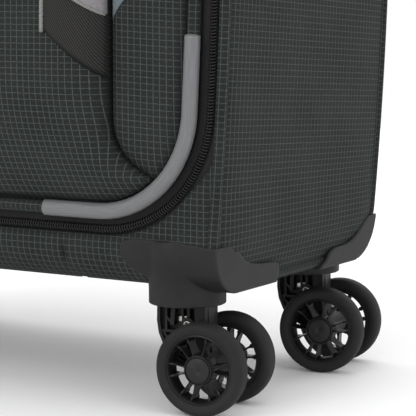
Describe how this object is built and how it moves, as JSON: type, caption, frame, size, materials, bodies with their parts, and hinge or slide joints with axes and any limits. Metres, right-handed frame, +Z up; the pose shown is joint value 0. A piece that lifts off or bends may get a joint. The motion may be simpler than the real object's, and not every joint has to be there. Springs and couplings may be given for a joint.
{
  "type": "softside upright suitcase",
  "caption": "Softside upright suitcase on swivelling twin-wheel casters, with a zip-round front lid, outside pockets, a telescopic trolley handle and pull-up carry handles.",
  "frame": {"origin": "middle of the footprint (bounding box) on the ground under the wheels", "axes": "+X to the right seen from the front, +Y from the front lid to the back panel, +Z up"},
  "size_m": [0.405, 0.2038, 0.5507],
  "materials": {
    "fabric_shell": "charcoal ripstop weave with a thin pale grid",
    "accent_fabric": "dark twill",
    "lining_fabric": "smooth woven lining",
    "zipper": "black nylon coil and cord",
    "guard_plastic": "satin mid grey",
    "aluminium_tube": "satin anodised",
    "steel": "zinc plated",
    "moulded_plastic": "fine moulded grain",
    "wheel_rubber": "matte soft tread on a moulded hub"
  },
  "bodies": {
    "root": {"back_panel": "fabric_shell", "left_side_panel": "fabric_shell", "right_side_panel": "fabric_shell", "top_panel": "fabric_shell", "bottom_panel": "fabric_shell", "front_rim": "fabric_shell", "main_zipper_coil": "zipper", "inner_liner": "lining_fabric", "packing_straps": "lining_fabric", "outer_tube_left": "aluminium_tube", "outer_tube_right": "aluminium_tube", "trolley_foot": "moulded_plastic", "trolley_bezel": "moulded_plastic", "top_handle_bracket_left": "moulded_plastic", "top_handle_bracket_right": "moulded_plastic", "side_handle_bracket_upper": "moulded_plastic", "side_handle_bracket_lower": "moulded_plastic", "front_right_wheel_housing": "moulded_plastic", "front_right_swivel_pin": "steel", "front_left_wheel_housing": "moulded_plastic", "front_left_swivel_pin": "steel", "rear_right_wheel_housing": "moulded_plastic", "rear_right_swivel_pin": "steel", "rear_left_wheel_housing": "moulded_plastic", "rear_left_swivel_pin": "steel"},
    "front_right_caster": {"front_right_fork": "moulded_plastic", "front_right_axle": "steel"},
    "front_right_wheel_a": {"front_right_wheel_a": "wheel_rubber"},
    "front_right_wheel_b": {"front_right_wheel_b": "wheel_rubber"},
    "front_left_caster": {"front_left_fork": "moulded_plastic", "front_left_axle": "steel"},
    "front_left_wheel_a": {"front_left_wheel_a": "wheel_rubber"},
    "front_left_wheel_b": {"front_left_wheel_b": "wheel_rubber"},
    "rear_right_caster": {"rear_right_fork": "moulded_plastic", "rear_right_axle": "steel"},
    "rear_right_wheel_a": {"rear_right_wheel_a": "wheel_rubber"},
    "rear_right_wheel_b": {"rear_right_wheel_b": "wheel_rubber"},
    "rear_left_caster": {"rear_left_fork": "moulded_plastic", "rear_left_axle": "steel"},
    "rear_left_wheel_a": {"rear_left_wheel_a": "wheel_rubber"},
    "rear_left_wheel_b": {"rear_left_wheel_b": "wheel_rubber"},
    "lid": {"lid_panel": "fabric_shell", "lid_guard_right": "guard_plastic", "lid_guard_left": "guard_plastic", "lower_pocket": "fabric_shell", "upper_pocket": "accent_fabric"},
    "main_slider_left": {"main_slider_left": "steel"},
    "main_puller_left": {"main_puller_left": "zipper"},
    "main_slider_right": {"main_slider_right": "steel"},
    "main_puller_right": {"main_puller_right": "zipper"},
    "lower_pocket_slider": {"lower_pocket_slider": "zipper"},
    "upper_pocket_slider": {"upper_pocket_slider": "zipper"},
    "trolley_lower_stage": {"middle_tube_left": "aluminium_tube", "middle_tube_right": "aluminium_tube"},
    "trolley_upper_stage": {"inner_tube_left": "aluminium_tube", "inner_tube_right": "aluminium_tube", "trolley_grip": "moulded_plastic"},
    "grip_button": {"grip_button": "guard_plastic"},
    "top_handle": {"top_carry_handle": "moulded_plastic"},
    "side_handle": {"side_carry_handle": "moulded_plastic"}
  },
  "joints": [
    {"name": "front_right_swivel", "type": "hinge", "parent": "root", "child": "front_right_caster", "pos_m": [0.14952, -0.06335, 0.056], "axis": [0, 0, 1], "continuous": true},
    {"name": "front_right_wheel_a_spin", "type": "hinge", "parent": "front_right_caster", "child": "front_right_wheel_a", "pos_m": [0.16643, -0.06157, 0.025], "axis": [-0.1045, 0.9945, 0], "continuous": true},
    {"name": "front_right_wheel_b_spin", "type": "hinge", "parent": "front_right_caster", "child": "front_right_wheel_b", "pos_m": [0.16643, -0.06157, 0.025], "axis": [-0.1045, 0.9945, 0], "continuous": true},
    {"name": "front_left_swivel", "type": "hinge", "parent": "root", "child": "front_left_caster", "pos_m": [-0.16448, -0.06335, 0.056], "axis": [0, 0, 1], "continuous": true},
    {"name": "front_left_wheel_a_spin", "type": "hinge", "parent": "front_left_caster", "child": "front_left_wheel_a", "pos_m": [-0.1475, -0.06246, 0.025], "axis": [-0.0523, 0.9986, 0], "continuous": true},
    {"name": "front_left_wheel_b_spin", "type": "hinge", "parent": "front_left_caster", "child": "front_left_wheel_b", "pos_m": [-0.1475, -0.06246, 0.025], "axis": [-0.0523, 0.9986, 0], "continuous": true},
    {"name": "rear_right_swivel", "type": "hinge", "parent": "root", "child": "rear_right_caster", "pos_m": [0.14952, 0.06935, 0.056], "axis": [0, 0, 1], "continuous": true},
    {"name": "rear_right_wheel_a_spin", "type": "hinge", "parent": "rear_right_caster", "child": "rear_right_wheel_a", "pos_m": [0.16626, 0.0723, 0.025], "axis": [-0.1736, 0.9848, 0], "continuous": true},
    {"name": "rear_right_wheel_b_spin", "type": "hinge", "parent": "rear_right_caster", "child": "rear_right_wheel_b", "pos_m": [0.16626, 0.0723, 0.025], "axis": [-0.1736, 0.9848, 0], "continuous": true},
    {"name": "rear_left_swivel", "type": "hinge", "parent": "root", "child": "rear_left_caster", "pos_m": [-0.16448, 0.06935, 0.056], "axis": [0, 0, 1], "continuous": true},
    {"name": "rear_left_wheel_a_spin", "type": "hinge", "parent": "rear_left_caster", "child": "rear_left_wheel_a", "pos_m": [-0.14761, 0.07142, 0.025], "axis": [-0.1219, 0.9925, 0], "continuous": true},
    {"name": "rear_left_wheel_b_spin", "type": "hinge", "parent": "rear_left_caster", "child": "rear_left_wheel_b", "pos_m": [-0.14761, 0.07142, 0.025], "axis": [-0.1219, 0.9925, 0], "continuous": true},
    {"name": "lid_hinge", "type": "hinge", "parent": "root", "child": "lid", "pos_m": [-0.19398, -0.08585, 0.3005], "axis": [0, 0, -1], "range_deg": [0, 160]},
    {"name": "main_slider_left_run", "type": "slide", "parent": "lid", "child": "main_slider_left", "axis": [-1, 0, 0], "range_m": [0, 0.1]},
    {"name": "main_puller_left_flip", "type": "hinge", "parent": "main_slider_left", "child": "main_puller_left", "pos_m": [-0.01648, -0.09455, 0.505], "axis": [-1, 0, 0], "range_deg": [0, 150]},
    {"name": "main_slider_right_run", "type": "slide", "parent": "lid", "child": "main_slider_right", "axis": [1, 0, 0], "range_m": [0, 0.1]},
    {"name": "main_puller_right_flip", "type": "hinge", "parent": "main_slider_right", "child": "main_puller_right", "pos_m": [0.00152, -0.09455, 0.505], "axis": [-1, 0, 0], "range_deg": [0, 150]},
    {"name": "lower_pocket_slider_run", "type": "slide", "parent": "lid", "child": "lower_pocket_slider", "axis": [1, 0, 0], "range_m": [0, 0.2]},
    {"name": "upper_pocket_slider_run", "type": "slide", "parent": "lid", "child": "upper_pocket_slider", "axis": [1, 0, 0], "range_m": [0, 0.2]},
    {"name": "trolley_lower_slide", "type": "slide", "parent": "root", "child": "trolley_lower_stage", "axis": [0, 0, 1], "range_m": [0, 0.245]},
    {"name": "trolley_upper_slide", "type": "slide", "parent": "trolley_lower_stage", "child": "trolley_upper_stage", "axis": [0, 0, 1], "range_m": [0, 0.245]},
    {"name": "grip_button_press", "type": "slide", "parent": "trolley_upper_stage", "child": "grip_button", "axis": [0, 0, -1], "range_m": [0, 0.0035], "stiffness_N_per_m": 400},
    {"name": "top_handle_lift", "type": "slide", "parent": "root", "child": "top_handle", "axis": [0, 0, 1], "range_m": [0, 0.015]},
    {"name": "side_handle_pull", "type": "slide", "parent": "root", "child": "side_handle", "axis": [1, 0, 0], "range_m": [0, 0.015]}
  ]
}
